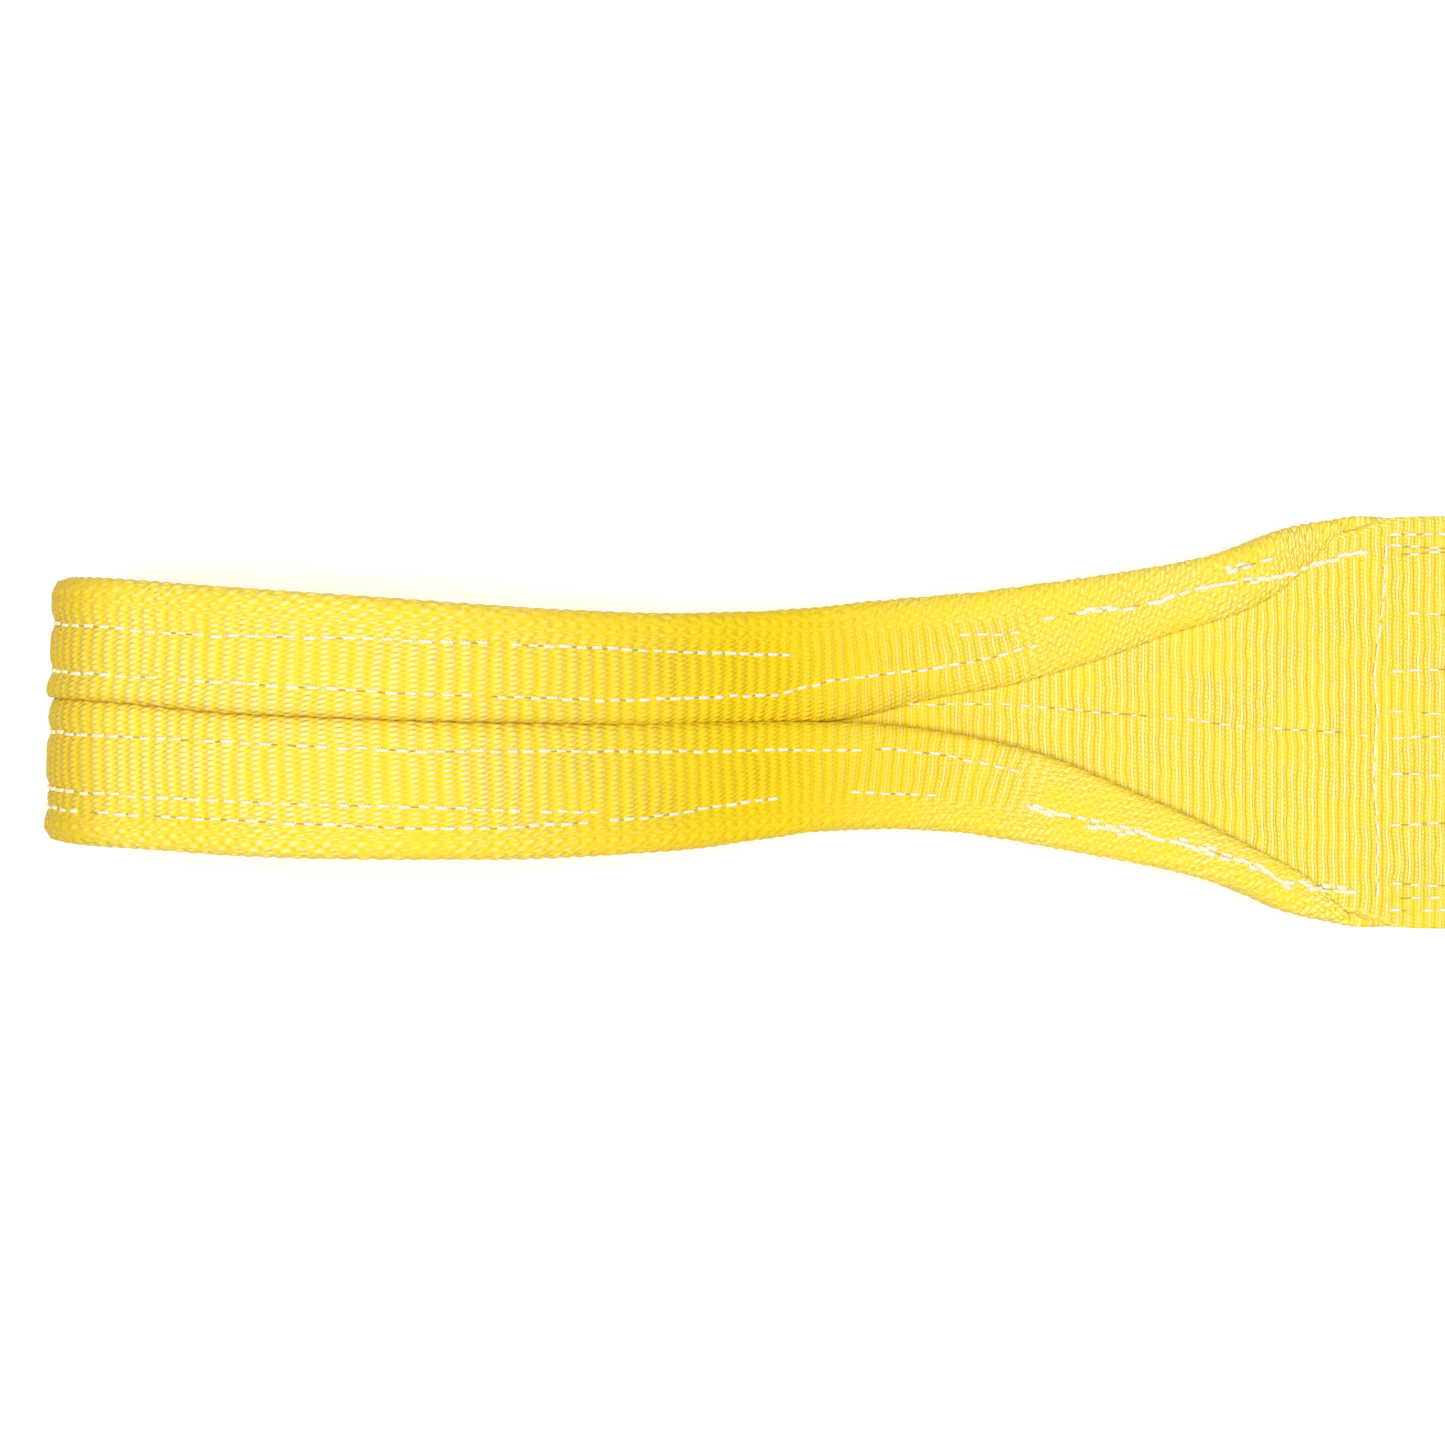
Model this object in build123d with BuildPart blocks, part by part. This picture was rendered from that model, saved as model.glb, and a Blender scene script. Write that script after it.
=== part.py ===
"""Flat woven lifting sling, two plies thick, with a folded soft eye at each end.

Frame: +X along the sling, +Z up, origin at the bottom centre, millimetres.
The right half is drawn, and the left half is its mirror image. Places along an end are
given by u, the distance from the cross seam out towards the end of the eye.
"""

from build123d import *
import math
import os

# Overall
total_length = 1000.0
web_width = 90.0
eye_length = 283.0  # from the cross seam to the end of the eye

# Webbing
ply = 3.4
ply_gap = 0.2  # between the two sewn plies
flap_gap = 0.1  # between a ply and the flap folded onto it
ply_edge_radius = 1.0
fold_clearance = 0.15  # each side of a line where the sling folds
fold_x = 75.0  # the sewn body folds here, each side of mid length

# Places along an end, as u
hinge_u = 14.0  # the eye folds against the body here
rise_u = 18.0  # the plies rise from the floor, to let the flaps in under them
raised_u = 38.0
upper_lead = 1.4  # the upper ply rises this much before the lower one, which keeps them apart
neck_u = 124.0  # narrowest place, where the upper leg lifts off the lower one
crown_u = 214.0

# Eye seen from the side: corners of its outer line, and the radii that round them
crown_corner_z = 68.0
nose_corner_z = 46.0
rise_radius = 14.0
heel_radius = 25.0
nose_radius = 28.0
crown_radius = 70.0
neck_radius = 62.0

# Eye seen from above: half widths of the folded web
outline = [(hinge_u, 43.9), (37, 36.4), (59, 31.4), (92, 26.0), (neck_u, 24.3), (200, 25.2), (285, 27.0)]
groove_y = 2.5  # the two flaps meet along this line
groove_width = 1.0
back_selvedge = [
    (24, 41), (38, 26), (67, 14),
    (116, groove_y + groove_width / 2), (286, groove_y + groove_width / 2),
]
front_selvedge = [
    (24, -41), (33, -29), (47, -20.5), (68, -11.8), (93, -3.5),
    (110, groove_y - groove_width / 2), (286, groove_y - groove_width / 2),
]
cutter_half_width = 60.0

# Wear liner, inside the end of the eye
liner_thick = 2.0
liner_width = 44.0
liner_start_u = 196.0

# Sewing thread
thread_width = 0.9
thread_height = 0.5
thread_lift = 0.02
row_margin = 5.0  # rows stop this far from a line where the sling folds
lowest_thread_z = 0.8
taper_start_u = 42.0
back_rows = [
    [(taper_start_u, 29.0), (67, 22.5), (98, 17.2), (neck_u, 15.8), (286, 15.8)],
    [(92, 9.5), (neck_u, 6.5), (286, 6.5)],
]
front_rows = [
    [(106, -3.6), (neck_u, -3.6), (286, -3.6)],
    [(92, -13.5), (neck_u, -14.4), (286, -14.4)],
    [(taper_start_u, -29.0), (67, -23.5), (98, -18.8), (neck_u, -18.0), (286, -18.0)],
]
cross_seam_half = 40.0
end_row_starts = [38.0, 34.0, 24.0, 11.0, 2.5, -3.5, -11.5, -22.5, -35.0, -39.0]
row_start_gap = 1.5  # from the cross seam to the first stitch of a row
row_runs = 3
row_reach = 43.0  # length of one slanted run of a row
row_slant = 2.0
edge_row_y = 41.0

# Label, sewn down at its end nearest mid length
label_end_x = -86.0
tab_length = 12.0
label_length = 90.0
label_width = 58.0
label_thick = 1.0
label_lift = 0.7  # it lies on the stitching, just clear of the web

body_thick = 2 * ply + ply_gap
leg_thick = 2 * ply + flap_gap
seam_x = total_length / 2 - eye_length
hinge_x = seam_x + hinge_u
row_start_x = seam_x - row_start_gap
end_x = total_length / 2
label_z = body_thick + label_lift

os.makedirs("parts", exist_ok=True)


def beside(corners, distance):
    """Corners of the line that runs at a distance to the left of a line of straight runs."""
    runs = []
    for (ax, az), (bx, bz) in zip(corners, corners[1:]):
        length = math.hypot(bx - ax, bz - az)
        dx, dz = (bx - ax) / length, (bz - az) / length
        runs.append((ax - dz * distance, az + dx * distance, dx, dz))
    found = [runs[0][:2]]
    for (px, pz, dx, dz), (qx, qz, ex, ez) in zip(runs, runs[1:]):
        share = ((qx - px) * ez - (qz - pz) * ex) / (dx * ez - dz * ex)
        found.append((px + dx * share, pz + dz * share))
    px, pz, dx, dz = runs[-1]
    last_x = corners[-1][0]
    found.append((last_x, pz + dz * (last_x - px) / dx))
    return found


# The loop's outer line: out along the lower leg, round the end, back along the upper leg
leg_top = 2 * leg_thick + ply_gap
loop_corners = [
    (hinge_x + fold_clearance, ply - leg_thick),
    (seam_x + rise_u, ply - leg_thick),
    (seam_x + raised_u, 0),
    (end_x, 0),
    (end_x, nose_corner_z),
    (seam_x + crown_u, crown_corner_z),
    (seam_x + neck_u, leg_top),
    (seam_x + raised_u - upper_lead, leg_top),
    (seam_x + rise_u - upper_lead, leg_top - leg_thick + ply),
    (hinge_x + fold_clearance, leg_top - leg_thick + ply),
]
loop_radii = [
    rise_radius, -rise_radius, heel_radius, nose_radius,
    crown_radius, -neck_radius, rise_radius, -rise_radius,
]  # a minus sign marks a corner that turns away from the inside of the loop


def layer(depth, thickness, corners=loop_corners, radii=loop_radii):
    """The layer of the loop between two depths inside its outer line, wider than the web."""
    with BuildPart() as whole:
        with BuildSketch(Plane.XZ):
            with BuildLine():
                outer = beside(corners, depth)
                inner = beside(corners, depth + thickness)
                FilletPolyline(*outer, radius=[abs(radius - depth) for radius in radii])
                FilletPolyline(*inner, radius=[abs(radius - depth - thickness) for radius in radii])
                Line(outer[0], inner[0])
                Line(outer[-1], inner[-1])
            make_face()
        extrude(amount=cutter_half_width, both=True)
    return whole.part


def plan_cutter(sketch):
    """A sketch seen from above, made into a block as high as the eye."""
    with BuildPart() as cutter:
        add(sketch)
        extrude(amount=crown_corner_z + 20, both=True)
    return cutter.part


def at_end(points):
    """Points given as (u, y), moved to their places on the right-hand end."""
    return [(seam_x + u, y) for u, y in points]


def above(z):
    """Everything higher than z at the right-hand end."""
    with BuildPart() as block:
        with BuildSketch(Plane.XY.offset(z)):
            with Locations((end_x - eye_length / 2, 0)):
                Rectangle(eye_length + 60, 2 * cutter_half_width)
        extrude(amount=2 * crown_corner_z)
    return block.part


def write_pair(part, name):
    """Writes the right-hand piece and its mirror image."""
    part.label = "right_" + name
    export_step(part, f"parts/right_{name}.step")
    with BuildPart() as left:
        mirror(part, about=Plane.YZ)
    left.part.label = "left_" + name
    export_step(left.part, f"parts/left_{name}.step")


# Plan outline of the folded web
with BuildSketch() as eye_plan:
    with BuildLine():
        edge = Spline(*at_end(outline), tangents=[(1, -0.35), (1, 0)])
        Line(edge @ 1, (edge.end_point().X, 0))
        Line((edge.end_point().X, 0), (edge.start_point().X, 0))
        Line((edge.start_point().X, 0), edge @ 0)
    make_face()
    mirror(about=Plane.XZ)

# ---------------------------------------------------------------- body plies
with BuildSketch() as body_plan:
    with BuildLine():
        Polyline(
            (fold_x + fold_clearance, 0),
            (fold_x + fold_clearance, web_width / 2),
            (seam_x - 6, web_width / 2),
            (hinge_x - fold_clearance, outline[0][1]),
            (hinge_x - fold_clearance, 0),
            close=True,
        )
    make_face()
    mirror(about=Plane.XZ)

with BuildSketch() as middle_plan:
    Rectangle(2 * (fold_x - fold_clearance), web_width)


def body_ply(plan, z):
    """One ply of the sewn body, with its long edges rounded as a woven edge is."""
    with BuildPart() as sheet:
        with BuildSketch(Plane.XY.offset(z)):
            add(plan.sketch)
        extrude(amount=ply)
        fillet(sheet.edges().filter_by(Axis.X), radius=ply_edge_radius)
    return sheet.part


for level, z in (("lower", 0), ("upper", ply + ply_gap)):
    write_pair(body_ply(body_plan, z), f"{level}_ply")
    middle_ply = body_ply(middle_plan, z)
    middle_ply.label = f"middle_{level}_ply"
    export_step(middle_ply, f"parts/middle_{level}_ply.step")

# ---------------------------------------------------------------- eye webbing
with BuildPart() as eye_web:
    add(layer(ply + flap_gap, ply))
    add(plan_cutter(eye_plan.sketch), mode=Mode.INTERSECT)
write_pair(eye_web.part, "eye_web")


def flap(selvedge, side):
    """One edge of the web, folded over onto the outside of the loop."""
    with BuildSketch() as region:
        with BuildLine():
            inner_edge = at_end(selvedge)
            Polyline(
                *inner_edge,
                (inner_edge[-1][0], side * cutter_half_width),
                (inner_edge[0][0], side * cutter_half_width),
                close=True,
            )
        make_face()
        add(eye_plan.sketch, mode=Mode.INTERSECT)
    with BuildPart() as folded:
        add(layer(0, ply))
        add(plan_cutter(region.sketch), mode=Mode.INTERSECT)
        add(above(0), mode=Mode.INTERSECT)
    return folded.part


write_pair(flap(back_selvedge, 1), "eye_back_flap")
write_pair(flap(front_selvedge, -1), "eye_front_flap")

# ---------------------------------------------------------------- wear liner
neck_x, crown_x = seam_x + neck_u, seam_x + crown_u
liner_corners = [
    (seam_x + liner_start_u - 20, 0),
    *loop_corners[3:6],
    (neck_x + (crown_x - neck_x) / 2, leg_top + (crown_corner_z - leg_top) / 2),
]
with BuildPart() as eye_liner:
    add(layer(leg_thick + flap_gap, liner_thick, liner_corners, loop_radii[2:5]))
    with BuildSketch():
        with Locations((seam_x + liner_start_u + eye_length / 2, 0)):
            Rectangle(eye_length, liner_width)
    extrude(amount=crown_corner_z, mode=Mode.INTERSECT)
write_pair(eye_liner.part, "eye_liner")


# ---------------------------------------------------------------- sewing
def eye_rows(rows):
    """Rows of thread that run out along the upper leg and round the end of the eye."""
    with BuildSketch() as plan:
        for row in rows:
            with BuildLine():
                path = Polyline(*at_end(row))
            trace(path, line_width=thread_width)
    with BuildPart() as sewn:
        add(layer(-thread_height - thread_lift, thread_height))
        add(plan_cutter(plan.sketch), mode=Mode.INTERSECT)
        add(above(lowest_thread_z), mode=Mode.INTERSECT)
    return sewn.part


write_pair(eye_rows(back_rows), "eye_back_seams")
write_pair(eye_rows(front_rows), "eye_front_seams")

thread_plane = Plane.XY.offset(body_thick + thread_lift)

with BuildPart() as cross_seam:
    with BuildSketch(thread_plane):
        with Locations((seam_x, 0)):
            Rectangle(thread_width, 2 * cross_seam_half)
    extrude(amount=thread_height)
write_pair(cross_seam.part, "cross_seam")

with BuildPart() as end_seams:
    with BuildSketch(thread_plane):
        for number, start_y in enumerate(end_row_starts):
            lean = row_slant if number % 2 else -row_slant
            points = [
                (row_start_x - row_reach * run, start_y + lean * (run % 2)) for run in range(row_runs + 1)
            ]
            with BuildLine():
                path = Polyline(*points)
            trace(path, line_width=thread_width)
    extrude(amount=thread_height)
write_pair(end_seams.part, "end_seams")

with BuildPart() as middle_seams:
    with BuildSketch(thread_plane):
        with GridLocations(0, 2 * edge_row_y, 1, 2):
            Rectangle(2 * (fold_x - row_margin), thread_width)
    extrude(amount=thread_height)
middle_seams.part.label = "middle_seams"
export_step(middle_seams.part, "parts/middle_seams.step")

# ---------------------------------------------------------------- label
with BuildPart() as label_tab:
    with BuildSketch(Plane.XY.offset(label_z)):
        with Locations((label_end_x - tab_length / 2, 0)):
            Rectangle(tab_length - 2 * fold_clearance, label_width)
    extrude(amount=label_thick)
label_tab.part.label = "label_tab"
export_step(label_tab.part, "parts/label_tab.step")

with BuildPart() as label_flap:
    with BuildSketch(Plane.XY.offset(label_z)):
        with Locations((label_end_x - tab_length - label_length / 2, 0)):
            Rectangle(label_length - 2 * fold_clearance, label_width)
    extrude(amount=label_thick)
    fillet(label_flap.edges().filter_by(Axis.Z).sort_by(Axis.X)[:2], radius=4.0)
label_flap.part.label = "label_flap"
export_step(label_flap.part, "parts/label_flap.step")

with BuildPart() as label_seam:
    with BuildSketch(Plane.XY.offset(label_z + label_thick + thread_lift)):
        with Locations((label_end_x - 3, 0), (label_end_x - 7, 0)):
            Rectangle(thread_width, label_width - 6)
    extrude(amount=thread_height)
label_seam.part.label = "label_seam"
export_step(label_seam.part, "parts/label_seam.step")
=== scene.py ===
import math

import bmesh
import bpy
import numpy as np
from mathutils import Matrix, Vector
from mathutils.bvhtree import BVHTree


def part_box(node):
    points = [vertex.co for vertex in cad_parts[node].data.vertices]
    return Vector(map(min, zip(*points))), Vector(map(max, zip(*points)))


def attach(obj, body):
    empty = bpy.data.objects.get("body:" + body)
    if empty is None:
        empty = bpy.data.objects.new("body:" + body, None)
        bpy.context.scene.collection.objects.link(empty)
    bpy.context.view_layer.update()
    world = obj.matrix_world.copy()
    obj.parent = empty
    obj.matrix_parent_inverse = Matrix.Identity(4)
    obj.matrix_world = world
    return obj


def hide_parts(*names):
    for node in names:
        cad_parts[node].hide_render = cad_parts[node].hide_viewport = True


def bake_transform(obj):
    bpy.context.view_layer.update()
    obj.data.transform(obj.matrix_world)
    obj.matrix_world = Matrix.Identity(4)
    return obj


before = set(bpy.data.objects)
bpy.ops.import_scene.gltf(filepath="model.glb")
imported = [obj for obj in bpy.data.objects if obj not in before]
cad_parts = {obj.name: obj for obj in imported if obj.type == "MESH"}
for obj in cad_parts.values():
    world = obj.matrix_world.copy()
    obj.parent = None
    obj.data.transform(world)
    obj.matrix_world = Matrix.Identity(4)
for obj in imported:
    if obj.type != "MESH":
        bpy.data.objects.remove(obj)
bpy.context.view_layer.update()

# Flat woven lifting sling with a folded soft eye at each end: webbing, sewing, liners, label.
#
# Tables are in millimetres in the CAD frame, and meshes are written in metres. One end is
# drawn on the +X side and mirrored for the other. Places in the web are given by
#   a  distance along the web's centre line, from mid length out along the lower leg,
#      round the end of the eye and back along the upper leg to mid length
#   c  distance across the web from its middle
#   u  distance from the cross seam out towards the end of the eye

MM = 0.001
SIDES = {"left": -1, "right": 1}


def middle_x(node):
    """Distance of a node's middle from mid length, in millimetres."""
    low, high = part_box(node)
    return abs(low.x + high.x) / 2 / MM


# ---------------------------------------------------------------- dimensions
SEAM_X = middle_x("right_cross_seam")
END_U = 283.0
WEB_HALF = 45.0
PLY = 3.4
FLAP_STEP = 3.5  # from the middle of the web to the middle of the flap folded onto it
CORE_DEPTH = FLAP_STEP + PLY / 2  # from the loop's outer line to the middle of the web
BODY_LEVELS = (1.7, 5.3)  # middles of the lower and the upper ply
FLAP_OVERLAP = 0.1  # of the two flaps where they meet

# Corners of the loop's outer line as (u, z), and the radii that round them
LOOP = [
    (14.15, -3.5), (18, -3.5), (38, 0), (END_U, 0), (END_U, 46),
    (214, 68), (124, 14), (36.6, 14), (16.6, 10.5), (14.15, 10.5),
]
LOOP_RADII = [14, -14, 25, 28, 70, -62, 14, -14]
LINE_STEP = 0.4
LINE_SOFTNESS = 4.0

# Tables by u
FOLD_LINE = [  # half width of the web between its two folds
    (-8, 46.5), (-1, 44.2), (4, 41.8), (11, 40.1), (15, 40.1), (20, 39.5), (31, 34.0),
    (42, 30.6), (59, 27.5), (92, 22.3), (124, 20.7), (150, 21.3), (200, 21.8), (256, 23.0),
    (285, 23.7),
]
BACK_EDGE = [  # where the edge of the back flap lies
    (24, 33), (31, 28.4), (38, 24.2), (45, 21.5), (54, 18.7), (67, 13.7), (79, 10.5), (87, 8),
    (98, 6), (110, 2.5), (118, 0.4), (129, -0.2), (160, -0.4), (200, 0.3), (236, 1.7),
    (256, 3.7), (284, 5.8),
]
FRONT_EDGE = [
    (24, -32.5), (31, -29.4), (46, -20.8), (53, -17.4), (60, -14.9), (68, -11.2), (76, -8),
    (82, -6.1), (90, -3.8), (98, -2), (107, -0.7), (115, -0.1), (123, -0.2), (130, 0.3),
    (160, -0.1), (200, 0.4), (236, 1.8), (256, 3.8), (284, 5.9),
]
WANDER = [  # how far the whole eye lies to one side
    (-4, 0), (36, 0.9), (61, 1.4), (100, 2.2), (118, 1.3), (140, -1.1), (160, -2.3),
    (184, -2.3), (230, -0.2), (280, 3),
]
# How far each flap's edge stands off the web below it
BACK_LIFT = [(60, -1.3), (125, -1.6), (150, -0.6), (175, 0.7), (283, 0.5)]
FRONT_LIFT = [
    (30, 0.3), (60, 0.6), (130, 0.8), (150, 0.3), (175, -1.4), (240, -1.2), (283, -0.7),
]
# Length of a rib of the weave
UPPER_PITCH = [
    (0, 2.33), (100, 2.4), (124, 2.45), (150, 3.0), (165, 3.2), (210, 3.15), (230, 2.95),
    (256, 2.8), (279, 2.6),
]
LOWER_PITCH = [(0, 2.35), (240, 2.5), (279, 2.6)]

RIB_DEPTH = 0.26
NOSE_SKEW = 0.035  # the front edge of the eye's end stands further out than the back edge
CHANNEL_DEPTH = 0.45  # how far a row of sewing pulls the web in
CHANNEL_WIDTH = 1.5
YARN_PITCH = 0.95
JOIN_X = 177.0  # the webbing is cut here into pieces that each cross one fold

COARSE, FINE = 4, 6  # rings of points for each rib of the web

# Where the web changes its look, by u
LOOSE_U, LOOSE_OVER = 100, 40  # from the tight weave of the taper to the loose one of the eye
# painted shade on the neck and on the end of the eye
NECK_U, NECK_REACH = 138, 42
END_DARK_U, END_DARK_OVER = 255, 22
# painted shade on the end of the eye, where it turns away from the light
END_SHADE_U, END_SHADE_OVER = 258, 20

# Rows of sewing on an eye as (u, y), from the body outwards
BOLD_BACK_ROWS = [
    [(2, 37.9), (9, 35.9), (24, 31.4), (40, 29.1), (50, 25.7), (61.5, 24), (75, 22.7)],
    [(24, 35.7), (36, 32.6)],
]
BOLD_FRONT_ROWS = [
    [(4.5, -37), (22, -35.1), (29.6, -30.5), (45, -25.9), (61, -22.5), (78, -18.0)],
]
BACK_ROWS = [
    [
        (75, 16.9), (85.5, 13.9), (101.4, 11.1), (121, 9), (133, 5.9), (168, 4.4), (204, 5.4),
        (241, 7.8), (285, 11.2),
    ],
    [(79, 19.1), (93, 18.6)],
    [(130, 14.2), (158.6, 14.6), (193.6, 15.4), (241, 16.6), (285, 21)],
]
FRONT_ROWS = [
    [
        (79, -10.7), (95.4, -7.1), (106.4, -5.8), (150, -6), (201.7, -5.6), (241, -3.6),
        (285, -1.3),
    ],
    [(97, -15.6), (117, -15)],
    [(133, -15.9), (162, -19.5), (190, -20.7), (200, -20.5), (235.5, -18.7), (285, -16.7)],
    [(170, -18.2), (205.5, -16.2), (233, -15.2), (285, -12.9)],
]
CENTRE_ROW = [
    (1.4, -3.2), (6, -2.2), (30, -1.1), (45.7, 0.9), (66.5, 2.6), (80, 3.9), (104, 3.9),
]
CROSS_ROW = [
    (-1.3, 39.4), (-0.4, 24.7), (1.4, 10.4), (0.7, 2.2), (1.6, -11.3), (0.5, -24.7),
    (0.7, -38.3),
]
END_ROWS = [38.5, 36.5, 24, 11.0, 2.5, -3.5, -11.0, -22.5, -35.0, -38.5]
END_ROW_STEP = 43.0
END_ROW_SLANT = 2.0
EDGE_ROWS = [41.0, -41.0]
ROW_START_U = -1.5  # the body's rows start this far from the cross seam

# Stitches of each kind of row: pitch in millimetres, gap between two as a share of it, share of
# them that shows, thickness, and how many times the row is sewn over
PLAIN_STITCH = {"pitch": 3.5, "gap": 0.14, "keep": 0.95, "size": 1.0}
BOLD_BACK_STITCH = {"pitch": 3.4, "gap": 0.12, "keep": 0.8, "size": 1.55, "passes": 2}
BOLD_FRONT_STITCH = {"pitch": 3.2, "gap": 0.12, "keep": 0.72, "size": 1.5, "passes": 3}
CENTRE_STITCH = {"pitch": 4.0, "gap": 0.24, "keep": 0.85, "size": 0.8}
CROSS_STITCH = {"pitch": 4.4, "gap": 0.03, "keep": 1.0, "size": 0.85}
END_STITCH = {"pitch": 4.0, "gap": 0.16, "keep": 0.8, "size": 0.9}
LABEL_STITCH = {"pitch": 3.0, "gap": 0.04, "keep": 1.0, "size": 1.0}
THREAD_HALF_WIDTH = 0.42
THREAD_HALF_HEIGHT = 0.3

LINER_START_U = 196.0
LINER_HALF = 22.0
LINER_THICK = 2.0
LINER_OFFSET = -(PLY / 2 + 0.1 + LINER_THICK / 2)
LINER_RIB = 1.6
LINER_YARN = 0.8

LABEL_CORNER = 4.0  # radius of the label's two free corners
LABEL_HEM = 3.0  # from its edge
LABEL_YARN = 0.5

FLOOR_HALF = 9000.0
CAMERA_X, CAMERA_Z = -360.4, 437.0
LENS = 49.2


# ---------------------------------------------------------------- the web's centre line
def beside(corners, distance):
    """Corners of the line at a distance to the left of a line of straight runs."""
    runs = []
    for (ax, az), (bx, bz) in zip(corners, corners[1:]):
        length = math.hypot(bx - ax, bz - az)
        dx, dz = (bx - ax) / length, (bz - az) / length
        runs.append((ax - dz * distance, az + dx * distance, dx, dz))
    found = [runs[0][:2]]
    for (px, pz, dx, dz), (qx, qz, ex, ez) in zip(runs, runs[1:]):
        share = ((qx - px) * ez - (qz - pz) * ex) / (dx * ez - dz * ex)
        found.append((px + dx * share, pz + dz * share))
    px, pz, dx, dz = runs[-1]
    found.append((corners[-1][0], pz + dz * (corners[-1][0] - px) / dx))
    return found


def rounded(corners, radii):
    """Points along a line of straight runs whose inner corners are rounded to those radii."""
    points = [np.array(corners[0], float)]
    for before, corner, after, radius in zip(corners, corners[1:], corners[2:], radii):
        corner = np.array(corner, float)
        back = np.array(before, float) - corner
        onward = np.array(after, float) - corner
        back /= np.linalg.norm(back)
        onward /= np.linalg.norm(onward)
        half = math.acos(np.clip(back @ onward, -1, 1)) / 2
        bisector = (back + onward) / np.linalg.norm(back + onward)
        centre = corner + bisector * radius / math.sin(half)
        reach = radius / math.tan(half)
        start, end = corner + back * reach - centre, corner + onward * reach - centre
        turn = math.pi - 2 * half
        for share in np.linspace(0, 1, max(3, int(radius * turn / 0.5))):
            way = start * math.sin((1 - share) * turn) + end * math.sin(share * turn)
            points.append(centre + way / math.sin(turn))
    points.append(np.array(corners[-1], float))
    return np.array(points)


def spread(points, step):
    """The same line with evenly spaced points."""
    along = np.concatenate([[0], np.cumsum(np.linalg.norm(np.diff(points, axis=0), axis=1))])
    even = np.linspace(0, along[-1], int(along[-1] / step) + 1)
    return np.stack([np.interp(even, along, points[:, i]) for i in range(2)], 1)


def blurred(values, reach):
    """Values along the centre line, smoothed over a distance."""
    count = int(3 * reach / LINE_STEP)
    kernel = np.exp(-0.5 * (np.arange(-count, count + 1) * LINE_STEP / reach) ** 2)
    padded = np.pad(values, count, mode="reflect", reflect_type="odd")
    return np.convolve(padded, kernel / kernel.sum(), mode="valid")


core_corners = beside([(SEAM_X + u, z) for u, z in LOOP], CORE_DEPTH)
core_corners[0] = (0, BODY_LEVELS[0])
core_corners[-1] = (0, BODY_LEVELS[1])
core = spread(rounded(core_corners, [abs(r - CORE_DEPTH) for r in LOOP_RADII]), LINE_STEP)
core = np.stack([blurred(core[:, 0], LINE_SOFTNESS), blurred(core[:, 1], LINE_SOFTNESS)], 1)
core = spread(core, LINE_STEP)
LINE_A = np.concatenate([[0], np.cumsum(np.linalg.norm(np.diff(core, axis=0), axis=1))])
tangent = np.gradient(core, axis=0)
tangent /= np.linalg.norm(tangent, axis=1)[:, None]
LINE_N = np.stack([tangent[:, 1], -tangent[:, 0]], 1)  # outwards from the loop
LINE_U = core[:, 0] - SEAM_X
NOSE = int(np.argmax(core[:, 0]))
NOSE_A = LINE_A[NOSE]


def smooth(x):
    """Rises from 0 at 0 to 1 at 1 with level ends."""
    x = np.clip(x, 0, 1)
    return x * x * (3 - 2 * x)


def on_line(values, a):
    return np.interp(a, LINE_A, values)


def off_line(a, n):
    """x and z of a place at a distance n outwards from the centre line."""
    x = on_line(core[:, 0], a) + on_line(LINE_N[:, 0], a) * n
    return x, on_line(core[:, 1], a) + on_line(LINE_N[:, 1], a) * n


def by_u(table, reach=5.0):
    """A table by u, made into smooth values along the centre line."""
    us, values = zip(*table)
    return blurred(np.interp(LINE_U, us, values), reach)


def a_at(u, upper=True):
    """The a of a place on the upper or the lower leg."""
    if upper:
        return np.interp(-np.asarray(u, float), -LINE_U[NOSE:], LINE_A[NOSE:])
    return np.interp(u, LINE_U[: NOSE + 1], LINE_A[: NOSE + 1])


fold_line = by_u(FOLD_LINE)
wander = by_u(WANDER, 8.0)
back_lift, front_lift = by_u(BACK_LIFT, 8.0), by_u(FRONT_LIFT, 8.0)
fold_slope = np.gradient(fold_line, LINE_A) * np.where(LINE_A < NOSE_A, -1, 1)
fold_turn = 2 * np.arctan(blurred(fold_slope, 4.0))
towards_body = np.clip((LINE_A - NOSE_A) / 30, -1, 1)


def reach_to(edge, sign):
    """How far across the web each selvedge is, so that its folded flap ends on a line."""
    flap = (fold_line - sign * (by_u(edge, 3.0) - wander)) / np.cos(fold_turn)
    folded = fold_line + math.pi * FLAP_STEP / 2 + flap + FLAP_OVERLAP / 2
    drawn_in = 0.7 * np.exp(-(((LINE_U - 3) / 7) ** 2))
    reach = WEB_HALF - drawn_in + (folded - WEB_HALF) * smooth((LINE_U - 4) / 24)
    return blurred(reach, 3.0)


back_reach, front_reach = reach_to(BACK_EDGE, 1), reach_to(FRONT_EDGE, -1)
pitch = np.where(LINE_A < NOSE_A, by_u(LOWER_PITCH), by_u(UPPER_PITCH))
ribs_per_mm = 0.5 * (1 / pitch[1:] + 1 / pitch[:-1])
phase = np.concatenate([[0], np.cumsum(ribs_per_mm * np.diff(LINE_A))])  # ribs, counted along a
phase *= round(phase[-1]) / phase[-1]


# ---------------------------------------------------------------- sewn rows in (a, y)
def eye_row(row):
    """A row on an eye, over the upper leg, round the end and back under the lower leg."""
    if row[-1][0] < END_U:
        pieces = [[(float(a_at(u)), y) for u, y in row]]
        pieces.append([(float(a_at(u, False)), y) for u, y in row])
        return pieces
    upper = [(float(a_at(u)), y) for u, y in row[:-1]]
    lower = [(float(a_at(u, False)), y) for u, y in reversed(row[:-1])]
    nose_y = row[-1][1]
    return [upper + [(NOSE_A, nose_y)] + lower]


def eye_rows(rows):
    return [piece for row in rows for piece in eye_row(row)]


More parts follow.
